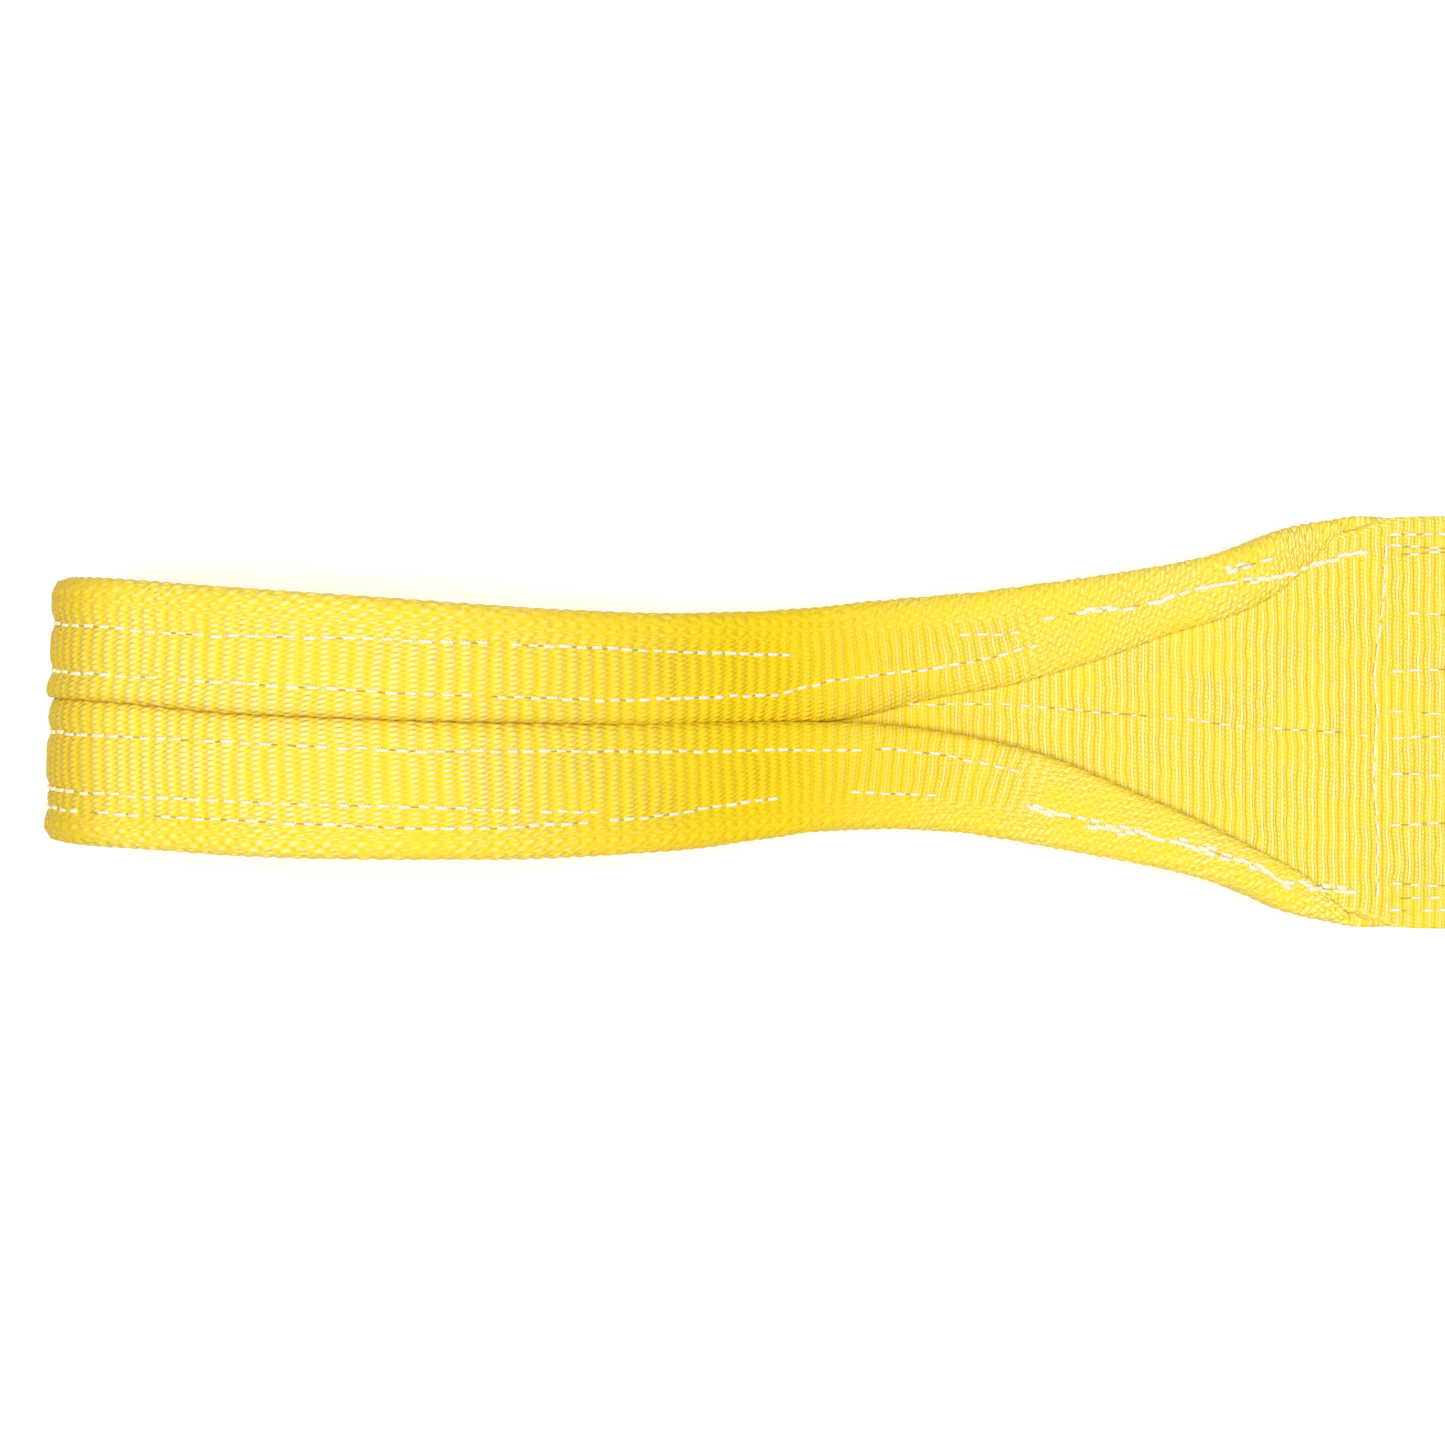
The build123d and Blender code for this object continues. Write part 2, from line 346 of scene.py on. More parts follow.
bold_back_rows, bold_front_rows = eye_rows(BOLD_BACK_ROWS), eye_rows(BOLD_FRONT_ROWS)
back_rows, front_rows = eye_rows(BACK_ROWS), eye_rows(FRONT_ROWS)
centre_rows = eye_row(CENTRE_ROW)
cross_rows = [[(float(a_at(u, upper)), y) for u, y in CROSS_ROW] for upper in (True, False)]
end_rows, edge_rows = [], []
for upper in (True, False):
    row_starts = [float(a_at(ROW_START_U - END_ROW_STEP * i, upper)) for i in range(4)]
    for number, start in enumerate(END_ROWS):
        lean = END_ROW_SLANT if number % 2 else -END_ROW_SLANT
        end_rows.append([(a, start + lean * (i % 2)) for i, a in enumerate(row_starts)])
    for y in EDGE_ROWS:
        edge_rows.append([(row_starts[0], y), (float(a_at(1 - SEAM_X, upper)), y)])
all_rows = bold_back_rows + bold_front_rows + back_rows + front_rows
all_rows += centre_rows + cross_rows + end_rows + edge_rows


def channel(a, y):
    """How far the sewing pulls the web in at each point, from 0 to 1."""
    pulled = np.zeros_like(a)
    reach = 4 * CHANNEL_WIDTH
    for row in all_rows:
        for (a0, y0), (a1, y1) in zip(row, row[1:]):
            near = (a > min(a0, a1) - reach) & (a < max(a0, a1) + reach)
            if not near.any():
                continue
            da, dy = a1 - a0, y1 - y0
            pa, py = a[near] - a0, y[near] - y0
            share = np.clip((pa * da + py * dy) / (da * da + dy * dy), 0, 1)
            far = np.hypot(pa - share * da, py - share * dy)
            pulled[near] = np.maximum(pulled[near], np.exp(-((far / CHANNEL_WIDTH) ** 2)))
    return pulled


# ---------------------------------------------------------------- webbing
def ripple(a, c, seed):
    """Gentle unevenness, from -1 to 1."""
    long_waves = np.sin(a / 19 + c / 31 + seed) + np.sin(a / 7.3 - c / 12 + 2.1 * seed)
    return (long_waves + np.sin(c / 5.1 + a / 43 + 3.7 * seed)) / 3


# Places across the web, closer together where it is folded and at its edges
COLUMNS = np.concatenate([
    np.linspace(0, 19, 8)[:-1], np.linspace(19, 28, 9)[:-1], np.arange(28, 43.2, 0.95),
    [43.3, 44.1, 44.7, 45.0],
])
COLUMNS = np.concatenate([-COLUMNS[:0:-1], COLUMNS])


def web_face(rows, columns, face, side):
    """Points of one face of the web: face 1 looks out of the loop, face -1 into it.

    Below, m is the distance across the web from its middle, y from the middle of the eye, and
    n outwards from the centre line. Beyond the fold line the web rolls over by a half turn and
    lies flat on itself.
    """
    a, c = np.meshgrid(rows, columns, indexing="ij")
    ribs = on_line(phase, a)
    wobble = 0.22 * ripple(a * 1.7, c * 1.3, side) + 0.1 * np.sin(c / 1.7 + a / 3)
    a = a + wobble * smooth((LINE_A[-1] - a) / 20) * smooth(a / 20)
    fold = on_line(fold_line, a)
    back, front = on_line(back_reach, a), on_line(front_reach, a)
    placed = c / WEB_HALF * (back + front) / 2 + (back - front) / 2
    m, sign = np.abs(placed), np.where(placed < 0, -1, 1)
    radius = FLAP_STEP / 2
    over = m - fold
    roll = np.clip(over / radius, 0, math.pi)
    flat = np.maximum(over - math.pi * radius, 0)
    turn = on_line(fold_turn, a)
    y = np.minimum(m, fold) + radius * np.sin(roll) - flat * np.cos(turn)
    pressed = 0.45 + 0.55 * smooth((on_line(LINE_U, a) - 5) / 35)
    n = radius * (1 - np.cos(roll)) * pressed
    moved = np.maximum(over - math.pi * radius / 2, 0) * np.sin(turn)
    u = on_line(LINE_U, a)
    a = a + moved * on_line(towards_body, a)

    edge = WEB_HALF - np.abs(c)
    loose = smooth((u - LOOSE_U) / LOOSE_OVER)
    flapped = smooth((roll - 2.2) / 0.9)
    lift = np.where(sign > 0, on_line(back_lift, a), on_line(front_lift, a))
    final_y = sign * y + on_line(wander, a)
    near_nose = np.exp(-(((a - NOSE_A) / 24) ** 2))
    n = n + flapped * lift * np.exp(-((edge / 2.8) ** 2))
    n = n + 0.25 * ripple(a, c, 4 + side) * flapped
    n = n - NOSE_SKEW * final_y * near_nose
    rib = np.abs(np.sin(math.pi * ribs)) ** (1.6 - 0.6 * loose)
    outside = face * np.where(roll > math.pi / 2, -1, 1) > 0
    pulled = channel(a, final_y) * outside
    bent = np.sin(roll)
    depth = RIB_DEPTH * (1 - 0.1 * bent) * (1 + 0.4 * ripple(a * 2.3, c * 2.9, 9))
    thick = PLY / 2 - depth * (1 - rib) * (1 - 0.6 * pulled)
    thick = thick - CHANNEL_DEPTH * pulled * (1 + near_nose)
    # the web thins towards its edges
    thick = thick * np.sqrt(np.clip(1 - ((np.abs(c) - 43.2) / 2.1) ** 2 * (edge < 1.8), 0.1, 1))
    y = y - face * bent * thick
    n = n + face * np.cos(roll) * thick

    x, z = off_line(a, n)
    low = 0.02 + 0.25 * (1 - rib)  # the lower leg lies on the floor
    z = np.where((z < low) & (a < NOSE_A), low, z)
    points = np.stack([x, sign * y + on_line(wander, a), z], -1)

    rolled = smooth((over + 2) / 3) * (1 - smooth((flat - 1.5) / 3))
    flap_of_taper = smooth(over / 2) * smooth((88 - u) / 15)
    strength = np.where(sign > 0, 0.1 + 0.9 * smooth((u - 92) / 30), smooth((u - 24) / 25))
    # painted shade in the groove along each flap's edge
    groove_shade = strength * flapped * np.exp(-((edge / 1.0) ** 2))
    # painted shade on the neck
    neck = np.exp(-(((u - NECK_U) / NECK_REACH) ** 2))
    facts = {
        # painted shade along the sewn rows, where the sewing pulls the web in
        "channel_shade": pulled,
        "loose": loose,
        "plain": np.maximum(rolled, flap_of_taper),
        # painted shade in the groove at the flaps' edges and on the end of the eye
        "edge_and_end_shade": np.maximum(groove_shade, 0.95 * smooth((u - END_SHADE_U) / END_SHADE_OVER)),
        # painted shade on the neck and the end of the eye, and a slightly darker tone over the
        # loose eye
        "shade_and_eye_tone": neck + 0.15 * loose + 0.85 * smooth((u - END_DARK_U) / END_DARK_OVER),
    }
    return points, np.stack([c / YARN_PITCH, ribs], -1), facts


def new_object(name, points, faces, uv=None, facts=None, material=None, flat_faces=0):
    """A mesh object from points in millimetres, whose last faces may be left flat.

    The facts are numbers at each point that the web's material reads. One left out reads as 0.
    """
    mesh = bpy.data.meshes.new(name)
    mesh.from_pydata((np.asarray(points, float) * MM).tolist(), [], faces)
    if uv is not None:
        layer = mesh.uv_layers.new(name="weave")
        corners = np.zeros(len(mesh.loops), np.int32)
        mesh.loops.foreach_get("vertex_index", corners)
        layer.data.foreach_set("uv", np.asarray(uv, np.float32)[corners].ravel())
    for fact, values in (facts or {}).items():
        attribute = mesh.attributes.new(fact, "FLOAT", "POINT")
        attribute.data.foreach_set("value", np.asarray(values, np.float32).ravel())
    work = bmesh.new()
    work.from_mesh(mesh)
    bmesh.ops.recalc_face_normals(work, faces=work.faces)
    work.to_mesh(mesh)
    work.free()
    count = len(mesh.polygons)
    mesh.polygons.foreach_set("use_smooth", np.arange(count) < count - flat_faces)
    obj = bpy.data.objects.new(name, mesh)
    bpy.context.scene.collection.objects.link(obj)
    if material:
        mesh.materials.append(material)
    return obj


def ring_faces(count, around):
    """Quads between rings of points, with a cap at each end."""
    faces = []
    for i in range(count - 1):
        for j in range(around):
            k = (j + 1) % around
            this, after = i * around, (i + 1) * around
            faces.append((this + j, this + k, after + k, after + j))
    half = around // 2
    for i in (0, count - 1):
        for j in range(half - 1):
            a, b = i * around + j, i * around + around - 1 - j
            faces.append((a, a + 1, b - 1, b))
    return faces


def web_piece(name, side, first, last, per_rib):
    """A closed piece of web between two ribs, with flat caps."""
    steps = (last - first) * per_rib
    rows = np.interp(first + np.arange(steps + 1) / per_rib, phase, LINE_A)
    outer, uv_out, facts_out = web_face(rows, COLUMNS, 1, side)
    inner, uv_in, facts_in = web_face(rows, COLUMNS[::-1], -1, side)
    points = np.concatenate([outer, inner], 1)
    uv = np.concatenate([uv_out, uv_in], 1)
    facts = {key: np.concatenate([facts_out[key], facts_in[key]], 1) for key in facts_out}
    around = points.shape[1]
    points[..., 0] *= side
    return new_object(
        name,
        points.reshape(-1, 3),
        ring_faces(len(rows), around),
        uv.reshape(-1, 2),
        facts,
        YELLOW,
        flat_faces=2 * (around // 2 - 1),
    )


# ---------------------------------------------------------------- materials
def linear(r, g, b):
    """A colour given in the 0 to 255 levels of a picture."""

    def one(v):
        v /= 255
        return v / 12.92 if v <= 0.04045 else ((v + 0.055) / 1.055) ** 2.4
    return (one(r), one(g), one(b), 1)


class Nodes:
    """Short ways to write a node tree."""

    def __init__(self, name):
        self.material = bpy.data.materials.new(name)
        self.material.use_nodes = True
        self.tree = self.material.node_tree
        self.shader = self.tree.nodes["Principled BSDF"]

    def put(self, socket, value):
        if isinstance(value, bpy.types.NodeSocket):
            self.tree.links.new(value, socket)
        else:
            socket.default_value = value

    def math(self, operation, first, second=0.0):
        node = self.tree.nodes.new("ShaderNodeMath")
        node.operation = operation
        self.put(node.inputs[0], first)
        self.put(node.inputs[1], second)
        return node.outputs[0]

    def times(self, first, second):
        return self.math("MULTIPLY", first, second)

    def plus(self, first, second):
        return self.math("ADD", first, second)

    def wave(self, value, rate):
        """Half waves side by side, each rising from 0 to 1 and falling back."""
        return self.math("ABSOLUTE", self.math("SINE", self.times(value, rate)))

    def uv(self):
        node = self.tree.nodes.new("ShaderNodeUVMap")
        node.uv_map = "weave"
        parts = self.tree.nodes.new("ShaderNodeSeparateXYZ")
        self.tree.links.new(node.outputs[0], parts.inputs[0])
        return parts.outputs[0], parts.outputs[1]

    def combine(self, x, y):
        node = self.tree.nodes.new("ShaderNodeCombineXYZ")
        for socket, value in zip(node.inputs, (x, y)):
            self.put(socket, value)
        return node.outputs[0]

    def noise(self, scale, detail=3.0, vector=None, rough=0.5):
        node = self.tree.nodes.new("ShaderNodeTexNoise")
        node.inputs["Scale"].default_value = scale
        node.inputs["Detail"].default_value = detail
        node.inputs["Roughness"].default_value = rough
        if vector is None:
            place = self.tree.nodes.new("ShaderNodeTexCoord")
            vector = place.outputs["Object"]
        self.put(node.inputs["Vector"], vector)
        return node.outputs["Fac"]

    def mix(self, factor, first, second):
        node = self.tree.nodes.new("ShaderNodeMix")
        node.data_type = "RGBA"
        self.put(node.inputs["Factor"], factor)
        self.put(node.inputs["A"], first)
        self.put(node.inputs["B"], second)
        return node.outputs["Result"]

    def spread(self, value, low, high, to_low=0.0, to_high=1.0):
        """low to high becomes to_low to to_high, and no less or more."""
        node = self.tree.nodes.new("ShaderNodeMapRange")
        for socket, number in zip(node.inputs, (value, low, high, to_low, to_high)):
            self.put(socket, number)
        return node.outputs[0]

    def blend_values(self, factor, first, second):
        return self.plus(first, self.times(factor, self.math("SUBTRACT", second, first)))

    def attribute(self, name):
        node = self.tree.nodes.new("ShaderNodeAttribute")
        node.attribute_name = name
        return node.outputs["Fac"]

    def bump(self, height, strength, distance):
        node = self.tree.nodes.new("ShaderNodeBump")
        node.inputs["Strength"].default_value = strength
        node.inputs["Distance"].default_value = distance
        self.put(node.inputs["Height"], height)
        return node.outputs[0]

    def finish(self, **values):
        for name, value in values.items():
            self.put(self.shader.inputs[name.replace("_", " ")], value)
        return self.material


def weave_material(name, painted_shade, valley, mid, crest_highlight, bump_size=0.0005):
    """Woven webbing: crosswise ribs made of yarns that run along the web.

    Loose web has rows of short slanted floats on its ribs and lower ones between them. Tight web
    has a thin broken ridge on each rib and small floats beside it. On a fold and on the taper's
    flaps, every other yarn is half a rib further on, and tight web becomes a fine twill.
    """
    n = Nodes(name)
    u, v = n.uv()  # u counts yarns across the web, v counts ribs along it
    loose, plain, channel_shade = (n.attribute(fact) for fact in ("loose", "plain", "channel_shade"))
    edge_and_end_shade, shade_and_eye_tone = n.attribute("edge_and_end_shade"), n.attribute("shade_and_eye_tone")

    waver = n.math("SUBTRACT", n.noise(260.0, 2.0), 0.5)
    v = n.plus(v, n.times(waver, 0.35))
    every_other = n.math("MODULO", n.math("FLOOR", n.math("ABSOLUTE", u)), 2.0)
    v = n.plus(v, n.times(n.times(every_other, plain), 0.5))
    within = n.math("FRACT", v)
    odd = n.times(n.math("MODULO", n.math("FLOOR", v), 2.0), 0.5)
    lean = n.times(n.math("SUBTRACT", within, 0.5), 0.5)
    across = n.plus(n.plus(u, odd), lean)
    yarn = n.wave(across, math.pi)
    between = n.math("ABSOLUTE", n.math("COSINE", n.times(across, math.pi)))
    rib = n.math("SINE", n.times(within, math.pi))

    long_float = n.times(n.math("POWER", rib, 1.5), n.math("POWER", yarn, 0.9))
    low_float = n.times(n.times(n.math("SUBTRACT", 1.0, rib), between), 0.7)
    loose_float = n.math("MAXIMUM", long_float, low_float)

    broken = n.spread(n.noise(420.0, 2.0), 0.35, 0.65, 0.45, 1.1)
    ridge_yarn = n.times(broken, n.spread(yarn, 0.0, 0.6, 0.75, 1.0))
    ridge = n.times(n.spread(rib, 0.84, 1.0), ridge_yarn)
    small = n.times(yarn, n.wave(v, 3 * math.pi))
    tight_float = n.math("MAXIMUM", ridge, n.times(small, 0.7))

    twill = n.wave(n.plus(v, n.times(u, 0.25)), 2 * math.pi)
    fine_float = n.times(n.math("POWER", twill, 0.8), n.math("POWER", yarn, 0.7))
    plain_float = n.blend_values(loose, fine_float, loose_float)
    ribbed_float = n.blend_values(loose, tight_float, loose_float)
    floats = n.blend_values(plain, ribbed_float, plain_float)

    fibre = n.noise(1.0, 3.0, n.combine(n.times(u, 5.0), n.times(v, 1.6)), 0.6)
    patchy = n.noise(90.0, 3.0)
    strength = n.plus(n.spread(patchy, 0.3, 0.7, 0.6, 1.25), n.times(plain, -0.3))
    height = n.times(n.times(floats, 0.8), strength)
    height = n.plus(height, n.times(n.math("POWER", rib, 0.6), 0.35))
    height = n.plus(height, n.times(fibre, 0.35))
    height = n.plus(height, n.times(n.noise(2200.0, 2.0), 0.3))

    # Colour follows the height of the weave: the crest colour is a painted highlight on the
    # floats, and the valley colour is the yellow darkened by painted shade between them.
    low = n.mix(n.spread(height, 0.35, 0.85), valley, mid)
    colour = n.mix(n.spread(height, 0.8, 1.35), low, crest_highlight)
    colour = n.mix(n.spread(n.noise(24.0, 2.0), 0.35, 0.7, 0.0, 0.3), colour, mid)
    # Painted shade along the sewn rows, where the sewing pulls the web in.
    colour = n.mix(n.spread(channel_shade, 0.5, 1.0, 0.0, 0.3), colour, valley)
    # Painted shade on the neck and the end of the eye, and a slightly darker tone over the loose
    # eye.
    colour = n.mix(n.times(shade_and_eye_tone, 0.9), colour, valley)
    # Painted shade in the groove at the flaps' edges and on the end of the eye.
    colour = n.mix(n.times(edge_and_end_shade, 0.6), colour, painted_shade)
    return n.finish(
        Base_Color=colour,
        Roughness=n.spread(height, 0.3, 1.4, 0.62, 0.42),
        Normal=n.bump(height, 0.8, bump_size),
        Sheen_Weight=0.02,
        Sheen_Roughness=0.5,
        Specular_IOR_Level=0.12,
    )


def thread_material(name, dark, light):
    """Twisted sewing thread."""
    n = Nodes(name)
    u, v = n.uv()
    turned = n.plus(n.times(u, 6.0), n.times(v, 3.14))
    twist = n.math("ABSOLUTE", n.math("SINE", turned))
    fibre = n.noise(900.0, 2.0)
    height = n.plus(twist, n.times(fibre, 0.4))
    colour = n.mix(n.spread(height, 0.2, 1.2), dark, light)
    colour = n.mix(n.spread(n.noise(120.0, 2.0), 0.45, 0.75, 0.0, 0.5), colour, dark)
    return n.finish(
        Base_Color=colour,
        Roughness=n.spread(fibre, 0.3, 0.7, 0.5, 0.75),
        Normal=n.bump(height, 0.5, 0.0002),
        Sheen_Weight=0.2,
    )


YELLOW = weave_material(
    "webbing_yellow",
    painted_shade=linear(206, 166, 2),
    valley=linear(236, 202, 22),
    mid=linear(247, 220, 74),
    crest_highlight=linear(255, 240, 160),
)
LINER = weave_material(
    "liner_yellow",
    painted_shade=linear(206, 166, 2),
    valley=linear(222, 186, 10),
    mid=linear(238, 208, 30),
    crest_highlight=linear(248, 226, 84),
    bump_size=0.0003,
)
THREAD = thread_material("thread_cream", linear(230, 217, 158), linear(248, 240, 198))
# darker thread, painted shade in the gaps between stitches
THREAD_SHADE = thread_material("thread_painted_shade", linear(168, 142, 44), linear(204, 178, 66))


def label_material():
    """Blue tightly woven label."""
    n = Nodes("label_blue")
    u, v = n.uv()
    height = n.plus(n.times(n.wave(u, math.pi), 0.5), n.times(n.wave(v, math.pi), 0.5))
    slow = n.noise(35.0, 3.0)
    colour = n.mix(n.spread(height, 0.2, 0.9), linear(10, 52, 118), linear(26, 84, 164))
    colour = n.mix(n.spread(slow, 0.4, 0.75, 0.0, 0.4), colour, linear(44, 98, 172))
    return n.finish(
        Base_Color=colour,
        Roughness=n.spread(slow, 0.3, 0.7, 0.42, 0.6),
        Normal=n.bump(height, 0.5, 0.00015),
        Sheen_Weight=0.05,
        Specular_IOR_Level=0.25,
    )


LABEL = label_material()

# ---------------------------------------------------------------- build the webbing
join_lower = round(float(np.interp(a_at(JOIN_X - SEAM_X, False), LINE_A, phase)))
join_upper = round(float(np.interp(a_at(JOIN_X - SEAM_X, True), LINE_A, phase)))
nose_rib = round(float(np.interp(NOSE_A, LINE_A, phase)))
last_rib = round(float(phase[-1]))


def across_eye_fold(obj):
    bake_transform(obj)


def across_body_fold(obj):
    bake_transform(obj)


surfaces = {}  # what the thread is laid on, by side
for side_name, side in SIDES.items():
    lower_body = web_piece(side_name + "_body_web_lower", side, 0, join_lower, COARSE)
    lower_leg = web_piece(side_name + "_eye_web_lower", side, join_lower, nose_rib, COARSE)
    upper_leg = web_piece(side_name + "_eye_web_upper", side, nose_rib, join_upper, FINE)
    upper_body = web_piece(side_name + "_body_web_upper", side, join_upper, last_rib, COARSE)
    points, polygons = [], []
    for obj in (lower_body, lower_leg, upper_leg, upper_body):
        count = len(points)
        points += [v.co.copy() for v in obj.data.vertices]
        polygons += [[count + i for i in p.vertices] for p in obj.data.polygons]
    surfaces[side_name] = BVHTree.FromPolygons(points, polygons)
    across_body_fold(lower_body)
    across_body_fold(upper_body)
    across_eye_fold(lower_leg)
    across_eye_fold(upper_leg)
    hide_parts(side_name + "_lower_ply", "middle_lower_ply")
    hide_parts(side_name + "_upper_ply", "middle_upper_ply")
    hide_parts(side_name + "_eye_web")
    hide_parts(side_name + "_eye_back_flap", side_name + "_eye_front_flap")


# ---------------------------------------------------------------- liners
def liner(side_name, side):
    """The lining strip inside the end of an eye, which takes the rubbing."""
    start, end = float(a_at(LINER_START_U, False)), float(a_at(LINER_START_U))
    rows = np.linspace(start, end, 361)
    columns = np.linspace(-LINER_HALF, LINER_HALF, 41)
    a, c = np.meshgrid(rows, columns, indexing="ij")
    rib = (a - start) / LINER_RIB
    faces, uvs = [], []
    for face in (1, -1):
        edge = LINER_HALF - np.abs(c)
        thick = LINER_THICK / 2 - 0.12 * (1 - np.abs(np.sin(math.pi * rib)))
        thick = thick - 0.4 * (edge < 0.5)
        thick = thick - 0.35 * (np.minimum(a - start, end - a) < 0.8)
        x, z = off_line(a, LINER_OFFSET + face * thick)
        faces.append(np.stack([side * x, c + on_line(wander, a), z], -1)[:, ::face])
        uvs.append(np.stack([c / LINER_YARN, rib], -1)[:, ::face])
    points, uv = np.concatenate(faces, 1), np.concatenate(uvs, 1)
    obj = new_object(
        side_name + "_eye_liner_web",
        points.reshape(-1, 3),
        ring_faces(len(rows), points.shape[1]),
        uv.reshape(-1, 2),
        material=LINER,
    )
    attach(obj, side_name + "_eye")
    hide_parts(side_name + "_eye_liner")


for side_name, side in SIDES.items():
    liner(side_name, side)

# ---------------------------------------------------------------- sewing
# Shape of a stitch: shares of its length and heights over the web. The sunk ones show in the gaps
# as painted shade.
STITCH_SHARES = np.array([0, 0.09, 0.26, 0.5, 0.74, 0.91, 1.0])
STITCH_HEIGHTS = np.array([-0.75, 0.02, 0.22, 0.27, 0.22, 0.02, -0.75])
STITCH_SIDES = 7
SUNK_SHARES = np.array([0, 0.2, 0.5, 0.8, 1.0])
SUNK_HEIGHTS = np.array([-0.2, -0.02, 0.0, -0.02, -0.2])
random = np.random.default_rng(12)


def along_row(row, distance, lengths):
    """The place (a, y) at a distance along a row whose runs have those lengths."""
    total = np.cumsum([0] + lengths)
    return np.array([np.interp(distance, total, [p[i] for p in row]) for i in range(2)])


def surface_at(tree, side, a, y):
    """Point and normal of the outermost surface at (a, y)."""
    px, pz = off_line(a, 0)
    nx, nz = on_line(LINE_N[:, 0], a), on_line(LINE_N[:, 1], a)
    out = Vector((side * nx, 0, nz))
    start = Vector((side * px, y, pz)) * MM + out * 12 * MM
    place, normal, _, _ = tree.ray_cast(start, -out, 16 * MM)
    if place is None:
        return None
    if normal.dot(out) < 0:
        normal = -normal
    return place / MM, (normal + out * 1.5).normalized()


class Thread:
    """Collects tubes of thread for one object."""

    def __init__(self, side_name):
        self.side, self.tree = SIDES[side_name], surfaces[side_name]
        self.points, self.faces, self.uvs, self.dark = [], [], [], []

    def tube(self, row, lengths, shares, heights, start, end, drift, size, dark=False):
        """One stretch of thread on the web, from start to end along a row."""
        line = []
        for share, height in zip(shares, heights):
            a, y = along_row(row, start + share * (end - start), lengths)
            found = surface_at(self.tree, self.side, a, y + drift)
            if found is None:
                return
            place, normal = found
            line.append((place + normal * height, normal))
        base, rings = len(self.points), len(line)
        for index, (place, normal) in enumerate(line):
            way = (line[min(index + 1, rings - 1)][0] - line[max(index - 1, 0)][0]).normalized()
            over = way.cross(normal).normalized()
            up = over.cross(way)
            swell = size * (0.75 if index in (0, rings - 1) else 1.0)
            for k in range(STITCH_SIDES):
                angle = 2 * math.pi * k / STITCH_SIDES
                point = place + over * THREAD_HALF_WIDTH * swell * math.cos(angle)
                point = point + up * THREAD_HALF_HEIGHT * swell * math.sin(angle)
                self.points.append((point.x, point.y, max(point.z, 0.03)))
                self.uvs.append((shares[index] * 2, k * 2 / STITCH_SIDES))
        count = len(self.faces)
        for i in range(rings - 1):
            for k in range(STITCH_SIDES):
                j = (k + 1) % STITCH_SIDES
                low, high = base + i * STITCH_SIDES, base + (i + 1) * STITCH_SIDES
                self.faces.append((low + k, low + j, high + j, high + k))
        last = base + (rings - 1) * STITCH_SIDES
        self.faces.append(tuple(base + k for k in range(STITCH_SIDES)))
        self.faces.append(tuple(last + k for k in range(STITCH_SIDES)))
        self.dark += [int(dark)] * (len(self.faces) - count)

    def object(self, name):
        obj = new_object(name, self.points, self.faces, self.uvs, material=THREAD)
        obj.data.materials.append(THREAD_SHADE)
        obj.data.polygons.foreach_set("material_index", self.dark)
        return obj


def sew(thread, rows, pitch, gap, keep, size, passes=1):
    """Stitches along rows, each a short thread whose ends go down into the web."""
    for row in rows:
        lengths = [math.hypot(b[0] - a[0], b[1] - a[1]) for a, b in zip(row, row[1:])]
        total = sum(lengths)
        count = max(1, round(total / pitch))
        long = total / count
        for turn in range(passes):
            shift = turn * 0.4
            aside = 0.55 * (turn - (passes - 1) / 2)
            for number in range(count):
                if random.random() > keep:
                    continue
                start = (number + shift + random.uniform(0.4, 1.6) * gap) * long
                end = (number + shift + 1 - random.uniform(0.4, 1.6) * gap) * long
                drift = aside + random.uniform(-0.17, 0.17) * passes
                thick = size * random.uniform(0.75 if passes > 1 else 0.82, 1.12)
                heights = STITCH_HEIGHTS + random.uniform(-0.2, 0.08)
                end = min(end, total)
                thread.tube(row, lengths, STITCH_SHARES, heights, start, end, drift, thick)
        # Darker stretches of thread in some gaps are painted shade between the stitches.
        for number in range(1, count):
            if gap > 0.05 and random.random() < 0.5:
                middle, half = number * long, random.uniform(0.2, 0.4) * long
                start, end = middle - half, middle + half
                thread.tube(row, lengths, SUNK_SHARES, SUNK_HEIGHTS, start, end, 0.0, 0.45, True)


for side_name in SIDES:
    thread = Thread(side_name)
    sew(thread, bold_back_rows, **BOLD_BACK_STITCH)
    sew(thread, back_rows, **PLAIN_STITCH)
    obj = thread.object(side_name + "_eye_back_stitches")
    across_eye_fold(obj)
    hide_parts(side_name + "_eye_back_seams")

    thread = Thread(side_name)
    sew(thread, bold_front_rows, **BOLD_FRONT_STITCH)
    sew(thread, front_rows, **PLAIN_STITCH)
    sew(thread, centre_rows, **CENTRE_STITCH)
    obj = thread.object(side_name + "_eye_front_stitches")
    across_eye_fold(obj)
    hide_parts(side_name + "_eye_front_seams")

    thread = Thread(side_name)
    sew(thread, cross_rows, **CROSS_STITCH)
    obj = thread.object(side_name + "_cross_stitches")
    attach(obj, side_name + "_span")
    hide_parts(side_name + "_cross_seam")

    thread = Thread(side_name)
    sew(thread, end_rows, **END_STITCH)
    obj = thread.object(side_name + "_end_stitches")
    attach(obj, side_name + "_span")
    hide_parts(side_name + "_end_seams")

    thread = Thread(side_name)
    sew(thread, edge_rows, **PLAIN_STITCH)
    obj = thread.object(side_name + "_edge_stitches")
    across_body_fold(obj)
    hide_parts("middle_seams")


# ---------------------------------------------------------------- label
def box_mm(node):
    low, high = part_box(node)
    return [v / MM for v in low], [v / MM for v in high]


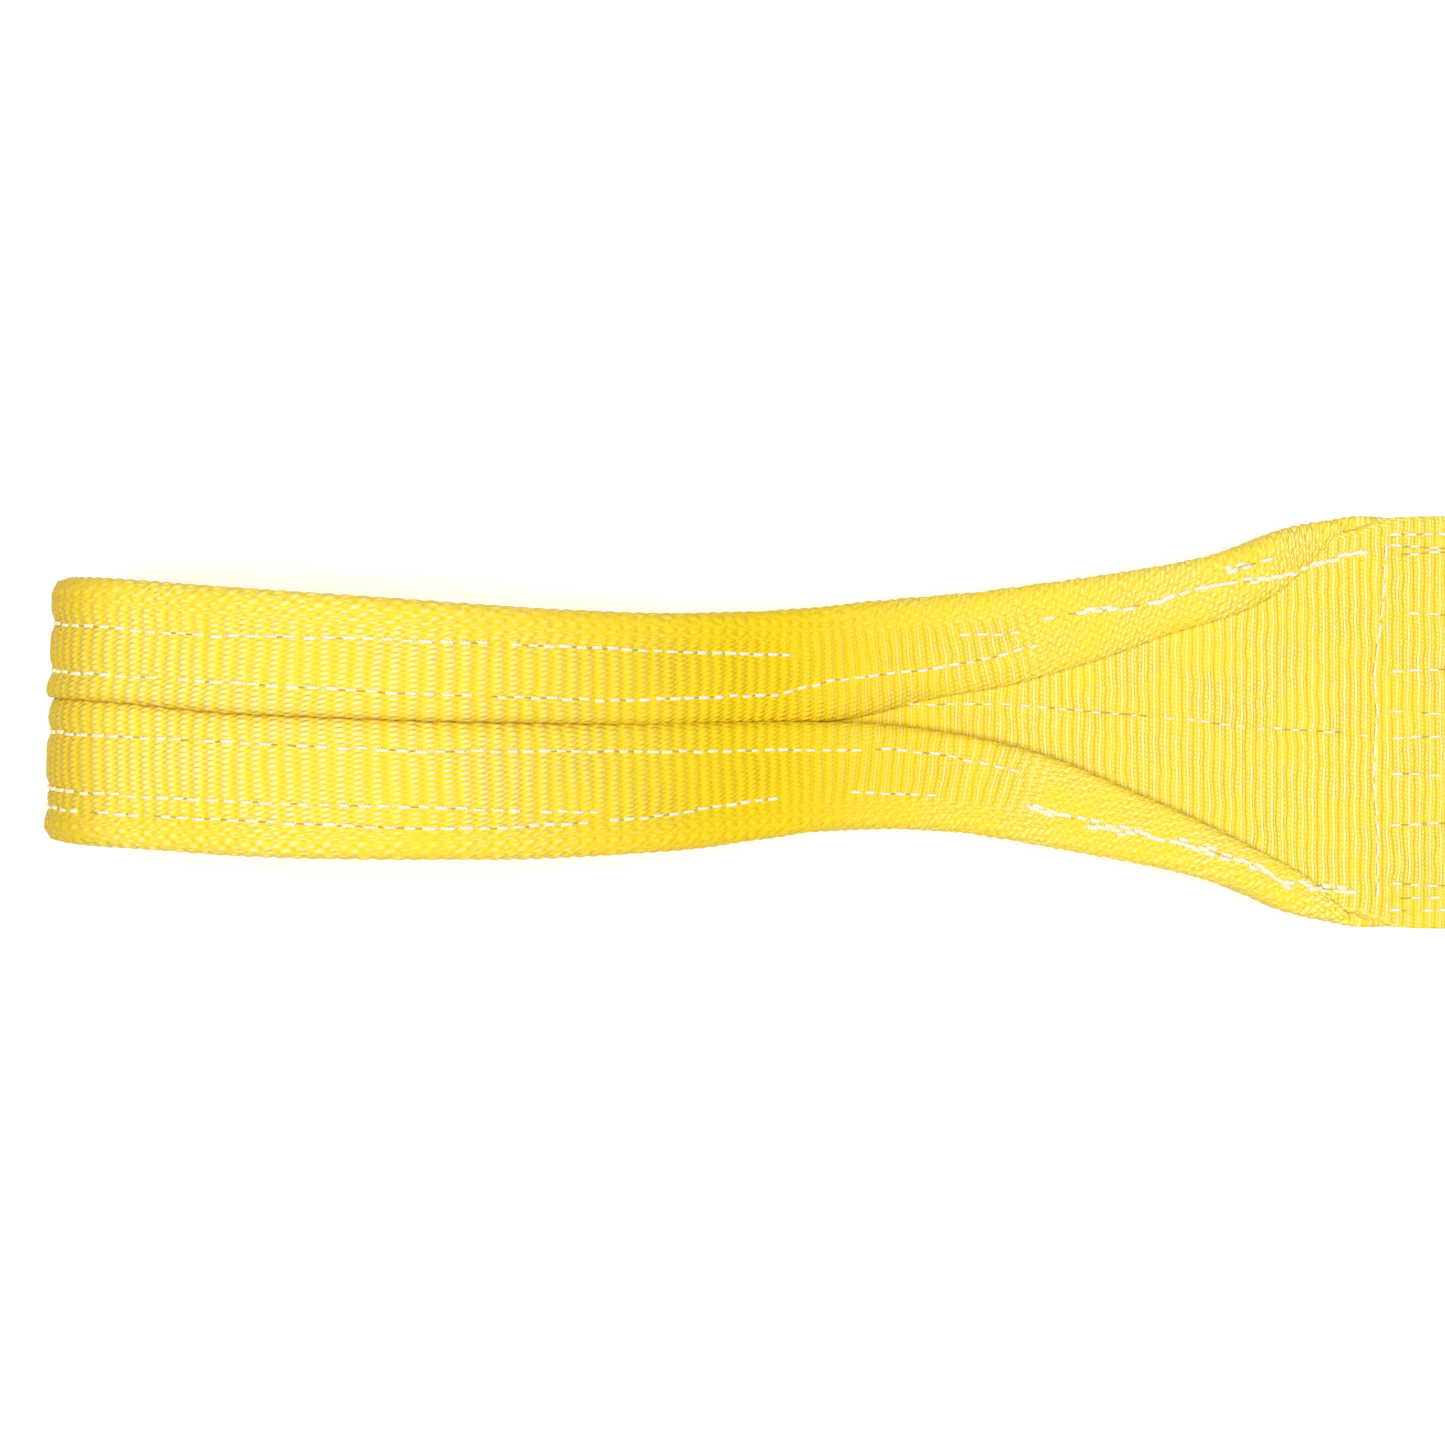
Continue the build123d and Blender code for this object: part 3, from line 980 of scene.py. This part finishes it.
def label():
    """The label's sewn tab and free flap, in one piece."""
    flap_low, flap_high = box_mm("label_flap")
    far, near = flap_low[0], box_mm("label_tab")[1][0]
    half = flap_high[1]
    thick = (flap_high[2] - flap_low[2]) / 2 - 0.05
    level = (flap_low[2] + flap_high[2]) / 2
    long_part = np.linspace(far + 1.6, near - 0.5, 150)
    wide_part = np.linspace(-half + 0.7, half - 0.7, 60)
    xs = np.concatenate([[far, far + 0.3, far + 0.8], long_part, [near]])
    ys = np.concatenate([[-half, -half + 0.2], wide_part, [half - 0.2, half]])
    x, y = np.meshgrid(xs, ys, indexing="ij")
    inset = np.clip(LABEL_CORNER - (x - far), 0, LABEL_CORNER)
    corner = LABEL_CORNER - np.sqrt(np.maximum(LABEL_CORNER**2 - inset**2, 0))
    reach = half - corner
    y = y * reach / half
    rise = 0.12 * np.sin(x / 9.0 + y / 21.0)
    layers, uvs = [], []
    for face in (1, -1):
        edge = np.minimum(x - far, reach - np.abs(y))
        t = thick * np.sqrt(np.clip(0.35 + edge / 0.8, 0.35, 1))
        hem = 0.12 * np.exp(-(((edge - LABEL_HEM) / 0.5) ** 2)) * (face > 0)
        z = level + rise + face * t - hem
        layers.append(np.stack([x, y, z], -1)[:, ::face])
        uvs.append(np.stack([y / LABEL_YARN, x / LABEL_YARN], -1)[:, ::face])
    points, uv = np.concatenate(layers, 1), np.concatenate(uvs, 1)
    obj = new_object(
        "label_sheet",
        points.reshape(-1, 3),
        ring_faces(len(xs), points.shape[1]),
        uv.reshape(-1, 2),
        material=LABEL,
    )
    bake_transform(obj)
    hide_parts("label_tab", "label_flap")
    return obj


label_mesh = label().data
surfaces["left"] = BVHTree.FromPolygons(
    [v.co.copy() for v in label_mesh.vertices], [list(p.vertices) for p in label_mesh.polygons]
)
seam_low, seam_high = box_mm("label_seam")
label_rows = [
    [(float(a_at(-x - SEAM_X)), y) for y in (seam_low[1], seam_high[1])]
    for x in (seam_low[0] + 0.5, seam_high[0] - 0.5)
]
thread = Thread("left")
sew(thread, label_rows, **LABEL_STITCH)
obj = thread.object("label_stitches")
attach(obj, "left_span")
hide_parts("label_seam")

# ---------------------------------------------------------------- floor, light and camera
floor = new_object(
    "floor",
    [(x * FLOOR_HALF, y * FLOOR_HALF, 0) for x, y in ((-1, -1), (1, -1), (1, 1), (-1, 1))],
    [(0, 1, 2, 3)],
)
n = Nodes("floor_white")
floor.data.materials.append(
    n.finish(
        Base_Color=n.mix(n.noise(6.0, 2.0), linear(246, 246, 246), linear(250, 250, 250)),
        Roughness=0.9,
        Specular_IOR_Level=0.1,
        Emission_Color=(1, 1, 1, 1),
        Emission_Strength=0.1,
    )
)

scene = bpy.context.scene
scene.view_settings.view_transform = "Standard"
world = bpy.data.worlds.new("studio")
world.use_nodes = True
background = world.node_tree.nodes["Background"]
background.inputs["Color"].default_value = (1, 1, 1, 1)
background.inputs["Strength"].default_value = 0.18
scene.world = world


def area_light(name, place, aim, size, power):
    """A round light, in metres and watts."""
    data = bpy.data.lights.new(name, "AREA")
    data.shape = "DISK"
    data.size = size
    data.energy = power
    light = bpy.data.objects.new(name, data)
    light.location = place
    light.rotation_euler = (Vector(aim) - Vector(place)).to_track_quat("-Z", "Y").to_euler()
    scene.collection.objects.link(light)


area_light("overhead", (-0.28, -0.01, 2.6), (-0.25, 0, 0), 2.2, 88)
area_light("front", (-0.1, -1.3, 0.9), (-0.3, 0, 0), 0.8, 1)

camera = bpy.data.objects.new("camera", bpy.data.cameras.new("camera"))
camera.location = (CAMERA_X * MM, 0, CAMERA_Z * MM)
camera.data.lens = LENS
camera.data.sensor_width = 36
camera.data.clip_start = 0.01
scene.collection.objects.link(camera)
scene.camera = camera
